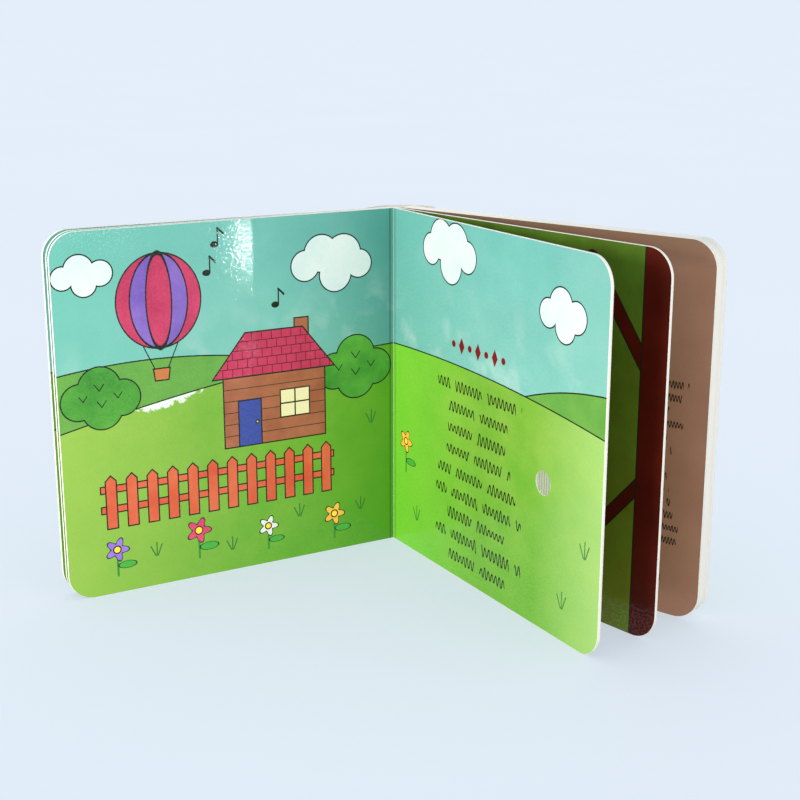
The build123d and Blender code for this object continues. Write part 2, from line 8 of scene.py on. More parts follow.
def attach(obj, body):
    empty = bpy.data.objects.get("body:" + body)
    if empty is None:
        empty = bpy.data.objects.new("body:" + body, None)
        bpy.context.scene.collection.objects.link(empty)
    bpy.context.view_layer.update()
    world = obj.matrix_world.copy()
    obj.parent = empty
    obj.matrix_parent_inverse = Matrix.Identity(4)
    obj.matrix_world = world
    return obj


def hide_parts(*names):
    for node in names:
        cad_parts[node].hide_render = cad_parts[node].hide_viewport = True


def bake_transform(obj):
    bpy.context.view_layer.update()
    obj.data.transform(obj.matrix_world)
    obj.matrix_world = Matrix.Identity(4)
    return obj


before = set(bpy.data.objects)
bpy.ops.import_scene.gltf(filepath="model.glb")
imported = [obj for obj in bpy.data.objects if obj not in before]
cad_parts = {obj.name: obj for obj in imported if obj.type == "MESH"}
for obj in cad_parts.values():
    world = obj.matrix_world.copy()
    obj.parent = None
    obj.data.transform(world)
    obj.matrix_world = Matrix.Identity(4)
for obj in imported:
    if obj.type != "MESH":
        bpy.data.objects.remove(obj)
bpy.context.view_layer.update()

# The musical board book stands open on its foot, with the reader on the -Y side.
# All lengths are in metres, and MM turns a size given in millimetres into metres.
MM = 0.001

# Page format and boards
page_width = 160 * MM
page_height = 160 * MM
corner_radius = 11.5 * MM
leaf_thickness = 1.4 * MM
cover_thickness = 2.0 * MM
wrap_thickness = 0.6 * MM
lining_thickness = 1.4 * MM
frame_thickness = 5.4 * MM
fold_radius = 3.5 * MM
front_crease = 12 * MM
back_crease = 14 * MM
crease_gap = 0.3 * MM
spine_rise = 3.2 * MM
crown_share = 0.62
block_fold = 1.3 * MM
margin_lap = 0.7 * MM
rim_ease = 0.1 * MM
corner_steps = 16
hole_steps = 48
fold_steps = 12
rim_angle = radians(60)
smooth_angle = radians(40)
weld = 0.01 * MM

# Fan of the leaves and covers, as headings in plan in degrees
picture_heading = 180 + 29.6
inner_left_heading = 180 + 28.9
cover_heading = 180 + 27.4
text_heading = -60.0
inner_right_heading = -49.4
block_heading = -39.6
block_fold_turn = 60.0
LEFT = -1
RIGHT = 1

# Cut-outs of the boards
window_from_spine = 121.5 * MM
window_height = 63 * MM
window_radius = 5 * MM
unit_low = (49.7 * MM, 31.7 * MM)
unit_high = (134.3 * MM, 92.3 * MM)
unit_corner = 4.3 * MM
speaker_centre = (72 * MM, 73.4 * MM)
sound_hole_radius = 1.4 * MM
sound_hole_pitch = 5.2 * MM
sound_hole_ring = 6
door_low = (62.6 * MM, 33.4 * MM)
door_high = (116.0 * MM, 52.2 * MM)
door_corner = 1.8 * MM

# Camera, matched to the corners of the leaves in the photograph of 800 by 800 pixels
photo_width = 800
focal_pixels = 1420.6
sensor_width = 36.0
camera_pitch = 15.2
camera_from_gutter = Vector((0.0195, -4.0516, 1.5327)) * page_height

up = Vector((0, 0, 1))


def heading_vector(heading):
    """A horizontal unit vector of the given heading in degrees."""
    return Vector((cos(radians(heading)), sin(radians(heading)), 0))


def outward(heading, side):
    """Unit vector from a board's printed face to its back."""
    return heading_vector(heading + 90 * side)


def board_place(foot, heading, side, depth=0.0):
    """Turns (along, height, depth) on a board into a place in the book."""
    along = heading_vector(heading)
    back = outward(heading, side)
    corner = foot + back * depth
    return Matrix(
        (
            (along.x, 0, back.x, corner.x),
            (along.y, 0, back.y, corner.y),
            (0, 1, 0, corner.z),
            (0, 0, 0, 1),
        )
    )


# Feet of the leaves in plan, each at the outer corner of the one before it
gutter = Vector((0, -leaf_thickness, 0))
inner_left_foot = gutter + outward(picture_heading, LEFT) * leaf_thickness
margin_foot = inner_left_foot + outward(inner_left_heading, LEFT) * leaf_thickness
inner_right_foot = gutter + outward(text_heading, RIGHT) * leaf_thickness
fold_foot = inner_right_foot + outward(inner_right_heading, RIGHT) * leaf_thickness
fold_heading = inner_right_heading + block_fold_turn
block_foot = fold_foot + heading_vector(fold_heading) * block_fold
block_thickness = lining_thickness + frame_thickness + cover_thickness


# Boards; both bevels on them share these settings
ROUNDED = {"offset_type": "OFFSET", "profile": 0.5, "material": -1}


def mesh_from(shape, name):
    """Turns a working shape into mesh data."""
    mesh = bpy.data.meshes.new(name)
    shape.to_mesh(mesh)
    shape.free()
    return mesh


def into_scene(name, data):
    """Puts a mesh, a camera or a lamp into the scene."""
    made = bpy.data.objects.new(name, data)
    bpy.context.scene.collection.objects.link(made)
    return made


def add_outline(shape, low, high, radius, far_side_only=False):
    """Adds a rectangular outline with rounded corners, as a face in the board's own plane."""
    made = bmesh.ops.create_grid(shape, x_segments=1, y_segments=1, size=0.5)["verts"]
    bmesh.ops.scale(shape, vec=(high[0] - low[0], high[1] - low[1], 1), verts=made)
    bmesh.ops.translate(shape, vec=((low[0] + high[0]) / 2, (low[1] + high[1]) / 2, 0), verts=made)
    middle = (low[0] + high[0]) / 2
    corners = [vert for vert in made if vert.co.x > middle or not far_side_only]
    if radius:
        rounding = {"offset": radius, "segments": corner_steps, "affect": "VERTICES"}
        bmesh.ops.bevel(shape, geom=corners, **rounding, **ROUNDED)


def board_mesh(
    place, thickness, front, back, near_edge=0.0, far_edge=page_width, radius=corner_radius, holes=()
):
    """A die-cut board with eased rims; slot 0 is its cut edge, front and back those of its faces.

    A hole is a round one, given by its centre and radius, or an outline: low, high and radius.
    """
    shape = bmesh.new()
    add_outline(shape, (near_edge, 0), (far_edge, page_height), radius, far_side_only=True)
    for hole in holes:
        if len(hole) == 2:
            spot = Matrix.Translation((hole[0][0], hole[0][1], 0))
            bmesh.ops.create_circle(shape, cap_ends=False, radius=hole[1], segments=hole_steps, matrix=spot)
        else:
            add_outline(shape, *hole)
    if holes:
        bmesh.ops.delete(shape, geom=shape.faces[:], context="FACES_ONLY")
        bmesh.ops.triangle_fill(shape, use_beauty=True, use_dissolve=False, edges=shape.edges[:])
    raised = bmesh.ops.extrude_face_region(shape, geom=shape.faces[:])["geom"]
    top = [item for item in raised if isinstance(item, bmesh.types.BMVert)]
    bmesh.ops.translate(shape, vec=(0, 0, thickness), verts=top)
    bmesh.ops.recalc_face_normals(shape, faces=shape.faces)
    rims = [edge for edge in shape.edges if edge.calc_face_angle() > rim_angle]
    bmesh.ops.bevel(shape, geom=rims, offset=rim_ease, segments=2, affect="EDGES", **ROUNDED)
    where = shape.verts.layers.float_vector.new("page_place")
    for vert in shape.verts:
        vert[where] = vert.co
    for face in shape.faces:
        face.material_index = 0
        if abs(face.normal.z) > 0.99:
            face.material_index = front if face.calc_center_median().z < thickness / 2 else back
        face.smooth = face.material_index == 0
    for edge in shape.edges:
        within_rim = all(face.smooth for face in edge.link_faces)
        edge.smooth = within_rim and edge.calc_face_angle() < smooth_angle
    bmesh.ops.transform(shape, matrix=place, verts=shape.verts)
    bmesh.ops.recalc_face_normals(shape, faces=shape.faces)
    return mesh_from(shape, "board")


def piece_of(name, meshes, materials, body, nodes):
    """Joins meshes into one piece that stands for CAD nodes and, if a body is named, moves with it."""
    whole = bmesh.new()
    for mesh in meshes:
        whole.from_mesh(mesh)
        bpy.data.meshes.remove(mesh)
    joined = mesh_from(whole, name)
    for material in materials:
        joined.materials.append(material)
    piece = into_scene(name, joined)
    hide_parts(*nodes)
    if body:
        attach(piece, body)
    return piece


def fold_mesh():
    """The fanned backs of the folds round the gutter."""
    shape = bmesh.new()
    add_outline(shape, (0, 0), (fold_radius, page_height), 0)
    start = text_heading + 90
    bmesh.ops.transform(shape, matrix=board_place(gutter, start, RIGHT), verts=shape.verts)
    bmesh.ops.spin(
        shape,
        geom=shape.faces[:],
        cent=gutter,
        axis=up,
        angle=radians(picture_heading - 90 - start),
        steps=fold_steps,
        use_duplicate=False,
    )
    bmesh.ops.remove_doubles(shape, verts=shape.verts, dist=weld)
    bmesh.ops.recalc_face_normals(shape, faces=shape.faces)
    return mesh_from(shape, "fold")


def spine_mesh():
    """The loose spine strip, bowed from one crease over the page backs to the other."""
    cover_back = outward(cover_heading, LEFT)
    block_back = outward(block_heading, RIGHT)
    front_end = margin_foot + heading_vector(cover_heading) * (front_crease - crease_gap)
    front_end += cover_back * cover_thickness
    back_end = block_foot + heading_vector(block_heading) * (back_crease - crease_gap)
    back_end += block_back * block_thickness
    crown = Vector((0, 0, 0))
    crown.x = front_end.x + crown_share * (back_end.x - front_end.x)
    crown.y = (block_foot + block_back * block_thickness).y + spine_rise
    shape = bmesh.new()
    foot = shape.verts.new(front_end)
    head = shape.verts.new(front_end + up * page_height)
    last = [foot, head, shape.edges.new((foot, head))]
    for end in (front_end, back_end):
        reach = end.x - crown.x
        drop = crown.y - end.y
        radius = (reach**2 + drop**2) / (2 * drop)
        last = bmesh.ops.spin(
            shape,
            geom=last,
            cent=crown - Vector((0, radius, 0)),
            axis=-up,
            angle=atan2(abs(reach), radius - drop),
            steps=fold_steps,
            use_duplicate=False,
        )["geom_last"]
    bmesh.ops.remove_doubles(shape, verts=shape.verts, dist=weld)
    bmesh.ops.recalc_face_normals(shape, faces=shape.faces)
    if sum(face.normal.y for face in shape.faces) < 0:
        bmesh.ops.reverse_faces(shape, faces=shape.faces)
    bmesh.ops.solidify(shape, geom=shape.faces[:], thickness=wrap_thickness)
    where = shape.verts.layers.float_vector.new("page_place")
    for vert in shape.verts:
        vert[where] = (vert.co.x, vert.co.z, 0)
    for face in shape.faces:
        face.smooth = True
        face.material_index = 0 if abs(face.normal.z) > 0.9 or face.normal.y < 0 else 1
    return mesh_from(shape, "spine"), front_end, back_end


# Finishes
def colour_of(code):
    """An sRGB hex colour as linear red, green, blue and alpha."""
    linear = []
    for place in (1, 3, 5):
        part = int(code[place : place + 2], 16) / 255
        linear.append(part / 12.92 if part <= 0.04045 else ((part + 0.055) / 1.055) ** 2.4)
    return (*linear, 1)


# Settings that many nodes share
SCALED = {"operation": "MULTIPLY_ADD"}
CLAMPED = {"operation": "MULTIPLY_ADD", "use_clamp": True}
COLOUR_MIX = {"give": 2, "data_type": "RGBA"}


def add(tree, kind, values=(), give=0, **settings):
    """Adds a node with its settings; values go to its inputs by their order or number.

    A value is a number, a hex colour or another node's output. Numbered inputs of a noise are 0
    place, 2 scale, 3 detail, 4 roughness and 8 distortion, of a mix 0 share, 6 and 7 colours, and
    of a bump 0 strength, 1 height, 3 pattern and 4 the relief below. Give is the number of the
    output that is handed back.
    """
    made = tree.nodes.new("ShaderNode" + kind)
    for name, value in settings.items():
        setattr(made, name, value)
    numbered = values.items() if isinstance(values, dict) else enumerate(values)
    for number, value in numbered:
        if isinstance(value, bpy.types.NodeSocket):
            tree.links.new(value, made.inputs[number])
        elif isinstance(value, str):
            made.inputs[number].default_value = colour_of(value)
        else:
            made.inputs[number].default_value = value
    return made.outputs[give]


def new_material(name):
    """An empty material with its principled shader, its tree and that shader's inputs."""
    material = bpy.data.materials.new(name)
    material.use_nodes = True
    shader = material.node_tree.nodes["Principled BSDF"]
    return material, material.node_tree, shader.inputs


# Softness of a printed edge and half the width of the drawn ink line, in mm
print_softness = 0.12
ink_half_width = 0.3
ink_tint = "#161c12"
# How sharply one tint of a wash gives way to the other
wash_contrast = 1.8
wash_offset = -0.4
# Score line beside the fold of each spread: places in mm, and how far the painted shade in its groove
# covers the print
crease_from_gutter = 1.5
crease_half_width = 0.7
crease_shade = 0.45
crease_shade_tint = "#0c2a1c"
# Relief of the laminate, and how its gloss comes and goes from grain to grain
peel_height = 0.025 * MM
crease_depth = 0.15 * MM
swell_height = 0.05 * MM
sparkle_contrast = 12.0
sparkle_offset = -5.7
least_gloss = 0.02
added_gloss = 0.65
# Dry brush: how rough its marks are, how much of the board is bare, and how hard their edges are
gate_pull = 9.0
bristle_pull = 2.4
bare_above = 7.65
bare_contrast = 4.0


class PrintedFace:
    """A gloss laminated print, painted layer by layer.

    Places on it are in millimetres, across from the gutter and up from the foot. A mirrored face
    is one with the gutter at its right, and its places across are negative.
    """

    def __init__(self, name, mirrored=False):
        self.material, self.tree, self.shader = new_material(name)
        place = self.make("Attribute", give=1, attribute_name="page_place")
        turn = (-1 / MM if mirrored else 1 / MM, 1 / MM, 0)
        self.spot = self.make("VectorMath", (place, turn), operation="MULTIPLY")
        self.across, self.height = self.make("SeparateXYZ", (self.spot,)).node.outputs[:2]
        # Watercolour: clouds of pigment some 20 mm wide with finer blooms in them
        self.mottle = self.make("TexNoise", {0: self.spot, 2: 0.045, 3: 4.0, 4: 0.62})
        self.colour = None

    def make(self, kind, values=(), give=0, **settings):
        return add(self.tree, kind, values, give, **settings)

    def apart(self, value, other):
        """How far one value is from another."""
        run = self.make("Math", (value, other), operation="SUBTRACT")
        return self.make("Math", (run,), operation="ABSOLUTE")

    def wash(self, pale, deep):
        """Two tints of one pigment that run into each other."""
        fade = self.make("Math", (self.mottle, wash_contrast, wash_offset), **CLAMPED)
        return self.make("Mix", {0: fade, 6: pale, 7: deep}, **COLOUR_MIX)

    def over(self, mask, tint):
        """Lays a tint over what is painted, where the mask says."""
        self.colour = self.make("Mix", {0: mask, 6: self.colour, 7: tint}, **COLOUR_MIX)

    def fill(self, distance, tint):
        """Fills a shape, given by the distance from its edge, which is negative inside."""
        self.over(self.make("Math", (distance, -1 / print_softness, 0.5), **CLAMPED), tint)

    def draw(self, distance, half_width=ink_half_width):
        """Draws the edge of a shape with an ink line."""
        away = self.make("Math", (distance,), operation="ABSOLUTE")
        offset = 0.5 + half_width / print_softness
        self.over(self.make("Math", (away, -1 / print_softness, offset), **CLAMPED), ink_tint)

    def paint(self, distance, tint):
        """Fills a shape and draws its edge."""
        self.fill(distance, tint)
        self.draw(distance)

    def oval(self, centre, across, tall):
        """Distance from an oval of the given half width and half height."""
        local = self.make("VectorMath", (self.spot, (*centre, 0)), operation="SUBTRACT")
        local = self.make("VectorMath", (local, (1, across / tall, 1)), operation="MULTIPLY")
        length = self.make("VectorMath", (local,), give=1, operation="LENGTH")
        return self.make("Math", (length, across), operation="SUBTRACT")

    def disc(self, centre, radius):
        """Distance from a circle."""
        length = self.make("VectorMath", (self.spot, (*centre, 0)), give=1, operation="DISTANCE")
        return self.make("Math", (length, radius), operation="SUBTRACT")

    def stroke(self, start, end, half_width):
        """Distance from a round-ended line."""
        run = Vector((*end, 0)) - Vector((*start, 0))
        local = self.make("VectorMath", (self.spot, (*start, 0)), operation="SUBTRACT")
        share = self.make(
            "VectorMath", (local, run / run.length_squared), give=1, operation="DOT_PRODUCT"
        )
        share = self.make("Clamp", (share, 0, 1))
        nearest = self.make("VectorMath", {0: run, 3: share}, operation="SCALE")
        length = self.make("VectorMath", (local, nearest), give=1, operation="DISTANCE")
        return self.make("Math", (length, half_width), operation="SUBTRACT")

    def polygon(self, corners, spot=None):
        """Distance from a convex shape with its corners in anticlockwise order."""
        sides = []
        for start, end in zip(corners, corners[1:] + corners[:1]):
            run = Vector((*end, 0)) - Vector((*start, 0))
            normal = Vector((run.y, -run.x, 0)).normalized()
            dot = self.make(
                "VectorMath", (spot or self.spot, normal), give=1, operation="DOT_PRODUCT"
            )
            sides.append(self.make("Math", (dot, normal.dot(Vector((*start, 0)))), operation="SUBTRACT"))
        return self.common(sides)

    def box(self, low, high):
        """Distance from an upright rectangle."""
        return self.polygon([low, (high[0], low[1]), high, (low[0], high[1])])

    def joined(self, distances):
        """Distance from the union of shapes."""
        return self.gather(distances, "MINIMUM")

    def common(self, distances):
        """Distance from the part that shapes have in common."""
        return self.gather(distances, "MAXIMUM")

    def gather(self, values, operation):
        """Folds a row of distances or masks into one."""
        result = values[0]
        for value in values[1:]:
            result = self.make("Math", (result, value), operation=operation)
        return result

    def below(self, peak, fall):
        """Distance from the ground under a hill, with its peak's place and its fall per square mm."""
        run = self.make("Math", (self.across, peak[0]), operation="SUBTRACT")
        square = self.make("Math", (run, run), operation="MULTIPLY")
        line = self.make("Math", (square, -fall, peak[1]), **SCALED)
        return self.make("Math", (self.height, line), operation="SUBTRACT")

    def dry_brush(self, distance, reach):
        """Leaves paper bare in ragged stretches within a reach inside a shape's edge."""
        # Stretches some 45 mm long, with bristle marks 3 mm wide
        gate = self.make("TexNoise", {0: self.spot, 2: 0.022, 3: 1.0, 4: 0.5})
        bristle = self.make("TexNoise", {0: self.spot, 2: 0.3, 3: 4.0, 4: 0.65, 8: 0.6})
        near = self.make("Math", (distance, 1 / reach, 1.0), **CLAMPED)
        ragged = self.make("Math", (bristle, bristle_pull, near), **SCALED)
        bare = self.make("Math", (gate, gate_pull, ragged), **SCALED)
        bare = self.make("Math", (bare, bare_contrast, -bare_above * bare_contrast), **CLAMPED)
        inside = self.make("Math", (distance, -6, 0), **CLAMPED)
        fringe = self.make("Math", (near, 12, 0), **CLAMPED)
        self.over(self.gather([bare, inside, fringe], "MULTIPLY"), paper_white)

    def laminate(self):
        """Gloss film over coated board: clear colours under a gloss that its orange peel breaks up."""
        # Peel 1.2 mm wide, a little coarser than the real one so that it shows, and a slow swell
        grain = self.make("TexNoise", {0: self.spot, 2: 0.8, 3: 3.0, 4: 0.65})
        swell = self.make("TexNoise", {0: self.spot, 2: 0.035, 3: 1.0, 4: 0.4})
        # Scored crease beside the fold, its groove darkened with painted shade
        from_gutter = self.make("Math", (self.across,), operation="ABSOLUTE")
        from_crease = self.apart(from_gutter, crease_from_gutter)
        groove = self.make("Math", (from_crease, 1 / crease_half_width, 0), **CLAMPED)
        self.over(self.make("Math", (groove, -crease_shade, crease_shade), **SCALED), crease_shade_tint)
        peel = self.make("Bump", {0: 1.0, 1: peel_height, 3: grain})
        scored = self.make("Bump", {0: 1.0, 1: crease_depth, 3: groove, 4: peel})
        relief = self.make("Bump", {0: 1.0, 1: swell_height, 3: swell, 4: scored})
        shader = self.shader
        self.tree.links.new(self.colour, shader["Base Color"])
        self.tree.links.new(relief, shader["Normal"])
        self.tree.links.new(relief, shader["Coat Normal"])
        shader["Roughness"].default_value = 0.6
        shader["IOR"].default_value = 1.5
        shader["Specular IOR Level"].default_value = 0.1
        # Grains 1 mm wide, coarse enough to show, break the gloss into sparkles
        sparkle = self.make("TexNoise", {0: self.spot, 2: 0.95, 3: 1.0, 4: 0.5})
        sparkle = self.make("Math", (sparkle, sparkle_contrast, sparkle_offset), **CLAMPED)
        gloss = self.make("Math", (sparkle, added_gloss, least_gloss), **SCALED)
        self.tree.links.new(gloss, shader["Coat Weight"])
        shader["Coat Roughness"].default_value = 0.06
        return self.material


# Pigments of the meadow prints
sky_low = "#79b0a5"
sky_pale = "#69a79c"
sky_deep = "#599b92"
paper_white = "#cdd2cb"
paper_shade = "#b4c6c4"
meadow_pale = "#80a53f"
meadow_deep = "#589623"
grass_low_pale = "#699c30"
grass_low_deep = "#539326"
far_hill_pale = "#6a9c42"
far_hill_deep = "#488636"
haze_tint = "#aec4ba"
# Heights over which the sky and the grass change from their lower to their upper tints, in mm
sky_foot = 95
sky_reach = 60
grass_reach = 100
# Reach of the pale blooms above the near hill, in mm, and how far they cover the sky
haze_reach = 40
haze_cover = 0.55
# Hills: place of the peak in mm, and fall per square mm
near_hill = ((44, 98), 0.00055)
far_hills = (((-120, 103), 0.0018), ((176, 108), 0.0026))
furrow = ((-30, 47), 0.0012)


def paint_meadow(face, runs=()):
    """Sky, a far hill and a near meadow; runs are (edge, reach, strength, sky tint, grass tint)."""
    climb = face.make("Math", (face.height, 1 / sky_reach, -sky_foot / sky_reach), **CLAMPED)
    low_sky = face.wash(sky_low, sky_pale)
    high_sky = face.wash(sky_pale, sky_deep)
    sky = face.make("Mix", {0: climb, 6: low_sky, 7: high_sky}, **COLOUR_MIX)
    slope = face.make("Math", (face.height, 1 / grass_reach, 0), **CLAMPED)
    low_grass = face.wash(grass_low_pale, grass_low_deep)
    high_grass = face.wash(meadow_pale, meadow_deep)
    grass = face.make("Mix", {0: slope, 6: low_grass, 7: high_grass}, **COLOUR_MIX)
    # Tints that run in from an edge of the page
    for edge, reach, strength, sky_tint, grass_tint in runs:
        from_edge = face.apart(face.across, edge)
        close = face.make("Math", (from_edge, -strength / reach, strength), **CLAMPED)
        sky = face.make("Mix", {0: close, 6: sky, 7: sky_tint}, **COLOUR_MIX)
        grass = face.make("Mix", {0: close, 6: grass, 7: grass_tint}, **COLOUR_MIX)
    face.colour = sky
    near = face.below(*near_hill)
    # Pale blooms some 18 mm wide, where the wet sky ran down to the hills
    bloom = face.make("TexNoise", {0: face.spot, 2: 0.055, 3: 4.0, 4: 0.5, 8: 0.25})
    bloom = face.make("Math", (bloom, 5.0, -2.6), **CLAMPED)
    haze = face.make("Math", (near, -1 / haze_reach, 1.0), **CLAMPED)
    haze = face.make("Math", (haze, bloom), operation="MULTIPLY")
    face.over(face.make("Math", (haze, haze_cover, 0), **SCALED), haze_tint)
    for hill in far_hills:
        face.paint(face.below(*hill), face.wash(far_hill_pale, far_hill_deep))
    face.fill(near, grass)
    face.dry_brush(near, 4)
    face.draw(near)
    face.dry_brush(face.below(*furrow), 3)


# Shapes of clouds that come back, as puffs of (across, up, radius) from the cloud's centre
broad_cloud = ((-13, 0, 7), (-5, 5, 8.5), (6, 4, 9), (14, -1, 6.5), (2, -5, 8))
short_cloud = ((-10, 0, 6), (-2, 4, 7.5), (8, 1, 6.5), (1, -4, 6.5))


def paint_puffs(face, centre, puffs, tint):
    """A scalloped shape made of puffs."""
    x, y = centre
    rings = [face.disc((x + across, y + rise), radius) for across, rise, radius in puffs]
    face.paint(face.joined(rings), tint)


def paint_cloud(face, centre, puffs):
    """A scalloped white cloud."""
    paint_puffs(face, centre, puffs, face.wash(paper_white, paper_shade))


def paint_bush(face, centre, puffs):
    """A round bush in two greens."""
    paint_puffs(face, centre, puffs, face.wash("#5aa038", "#1d6c22"))
    # Leaf ticks in ink
    x, y = centre
    ticks = []
    for across, rise, radius in puffs:
        foot = (x + across * 0.8, y + rise * 0.8)
        ticks.append(face.stroke(foot, (foot[0] - radius * 0.22, foot[1] + radius * 0.3), 0.22))
        ticks.append(face.stroke(foot, (foot[0] + radius * 0.22, foot[1] + radius * 0.3), 0.22))
    face.fill(face.joined(ticks), ink_tint)


def paint_flower(face, centre, radius, petals, stem):
    """A flower of five petals on its stem."""
    x, y = centre
    face.fill(face.stroke((x, y - stem), (x, y), 0.5), "#2f7d2c")
    leaf = face.oval((x + radius * 0.8, y - stem * 0.62), radius * 0.75, radius * 0.3)
    face.paint(leaf, "#3f9a37")
    local = face.make("VectorMath", (face.spot, (x, y, 0)), operation="SUBTRACT")
    right, rise = face.make("SeparateXYZ", (local,)).node.outputs[:2]
    # The rim waves five times round the middle
    turn = face.make("Math", (rise, right), operation="ARCTAN2")
    turn = face.make("Math", (turn, 5, 0.4), **SCALED)
    lobe = face.make("Math", (turn,), operation="COSINE")
    rim = face.make("Math", (lobe, 0.24 * radius, 0.76 * radius), **SCALED)
    length = face.make("VectorMath", (local,), give=1, operation="LENGTH")
    face.paint(face.make("Math", (length, rim), operation="SUBTRACT"), petals)
    face.paint(face.disc(centre, radius * 0.3), "#f5c93a")


def paint_tuft(face, foot, tall):
    """Three blades of grass in dark green."""
    x, y = foot
    blades = []
    for lean, share in ((-tall * 0.45, 0.75), (0.1, 1.0), (tall * 0.4, 0.8)):
        blades.append(face.stroke((x + lean * 0.2, y), (x + lean, y + tall * share), 0.3))
    face.fill(face.joined(blades), "#2f6b2a")


def paint_note(face, head, tall):
    """A plain quaver: head, stem and flag."""
    x, y = head
    parts = [
        face.oval(head, 1.9, 1.4),
        face.stroke((x + 1.6, y), (x + 1.6, y + tall), 0.32),
        face.stroke((x + 1.6, y + tall), (x + 4.2, y + tall - 2.6), 0.45),
    ]
    face.fill(face.joined(parts), ink_tint)


def paint_balloon(face, centre, radius):
    """A striped hot-air balloon with its basket."""
    x, y = centre
    crimson = face.wash("#bd3f61", "#982445")
    purple = face.wash("#8469b2", "#5b4195")
    basket_top = y - radius * 1.55
    for side in (-1, 1):
        # Rope from the skirt to the basket
        skirt = (x + side * radius * 0.5, y - radius * 0.8)
        rope = face.stroke(skirt, (x + side * radius * 0.16, basket_top), 0.25)
        face.fill(rope, ink_tint)
    # Each stripe lies over the middle of the wider one
    for share, tint in ((1.0, crimson), (0.68, purple), (0.3, crimson)):
        face.paint(face.oval(centre, radius * share, radius * 1.08), tint)
    basket = [
        (x - radius * 0.16, basket_top - radius * 0.28),
        (x + radius * 0.16, basket_top - radius * 0.28),
        (x + radius * 0.2, basket_top),
        (x - radius * 0.2, basket_top),
    ]
    face.paint(face.polygon(basket), "#b06a3a")


def repeated(face, value, start, pitch):
    """Distance from the nearest of many lines at a pitch."""
    wrapped = face.make("Math", (value, start + pitch / 2, start - pitch / 2), operation="WRAP")
    return face.apart(wrapped, start)


def paint_cottage(face, corner, width, tall):
    """A planked brown cottage with a crimson tiled roof, a door, a window and a chimney."""
    x, y = corner
    eave = y + tall
    ridge = y + tall * 1.62
    plank = tall / 6
    course = (ridge - eave) / 5
    tile = course * 1.2
    half_line = 0.16
    course_half_line = 0.18
    wood = face.wash("#a8694a", "#7a3f2a")
    chimney = face.box((x + width * 0.7, eave), (x + width * 0.84, y + tall * 1.75))
    face.paint(chimney, wood)
    wall = face.box(corner, (x + width, eave))
    face.paint(wall, wood)
    joints = face.make("Math", (repeated(face, face.height, y, plank), half_line), operation="SUBTRACT")
    face.fill(face.common([joints, wall]), ink_tint)
    # Roof, in courses of tiles that are staggered from one to the next
    roof = face.polygon(
        [(x - 5, eave), (x + width + 5, eave), (x + width * 0.78, ridge), (x + width * 0.22, ridge)]
    )
    face.paint(roof, face.wash("#bd3a5a", "#96203e"))
    rows = repeated(face, face.height, eave, course)
    rows = face.make("Math", (rows, course_half_line), operation="SUBTRACT")
    row = face.make("Math", (face.height, 1 / course, -eave / course), **SCALED)
    row = face.make("Math", (row,), operation="FLOOR")
    staggered = face.make("Math", (row, tile / 2, face.across), **SCALED)
    tiles = face.make("Math", (repeated(face, staggered, x, tile), half_line), operation="SUBTRACT")
    face.fill(face.common([face.joined([rows, tiles]), roof]), "#4a0e1e")
    face.draw(roof)
    # Door with its knob
    door = face.box((x + width * 0.14, y), (x + width * 0.36, y + tall * 0.66))
    face.paint(door, "#36448e")
    face.paint(face.disc((x + width * 0.32, y + tall * 0.33), 0.7), "#f0c040")
    # Window of four panes
    low = (x + width * 0.55, y + tall * 0.34)
    high = (x + width * 0.84, y + tall * 0.74)
    face.paint(face.box(low, high), "#d6cc9e")
    middle = ((low[0] + high[0]) / 2, (low[1] + high[1]) / 2)
    bars = [
        face.stroke((middle[0], low[1]), (middle[0], high[1]), 0.35),
        face.stroke((low[0], middle[1]), (high[0], middle[1]), 0.35),
    ]
    face.fill(face.joined(bars), ink_tint)


def paint_fence(face, low, high, pitch):
    """A picket fence of orange-red boards, its pickets repeated at the pitch."""
    tall = high[1] - low[1]
    tint = face.wash("#cc6a46", "#b84026")
    for share in (0.3, 0.68):
        rail = face.box((low[0], low[1] + tall * share), (high[0], low[1] + tall * (share + 0.13)))
        face.paint(rail, tint)
    wrapped = face.make("Math", (face.across, low[0] + pitch, low[0]), operation="WRAP")
    spot = face.make("CombineXYZ", (wrapped, face.height))
    left = low[0] + pitch * 0.24
    right = low[0] + pitch * 0.76
    shoulder = high[1] - pitch * 0.26
    point = ((left + right) / 2, high[1])
    corners = [(left, low[1]), (right, low[1]), (right, shoulder), point, (left, shoulder)]
    picket = face.polygon(corners, spot=spot)
    ends = face.box((low[0], low[1] - 1), (high[0], high[1] + 1))
    face.paint(face.common([picket, ends]), tint)


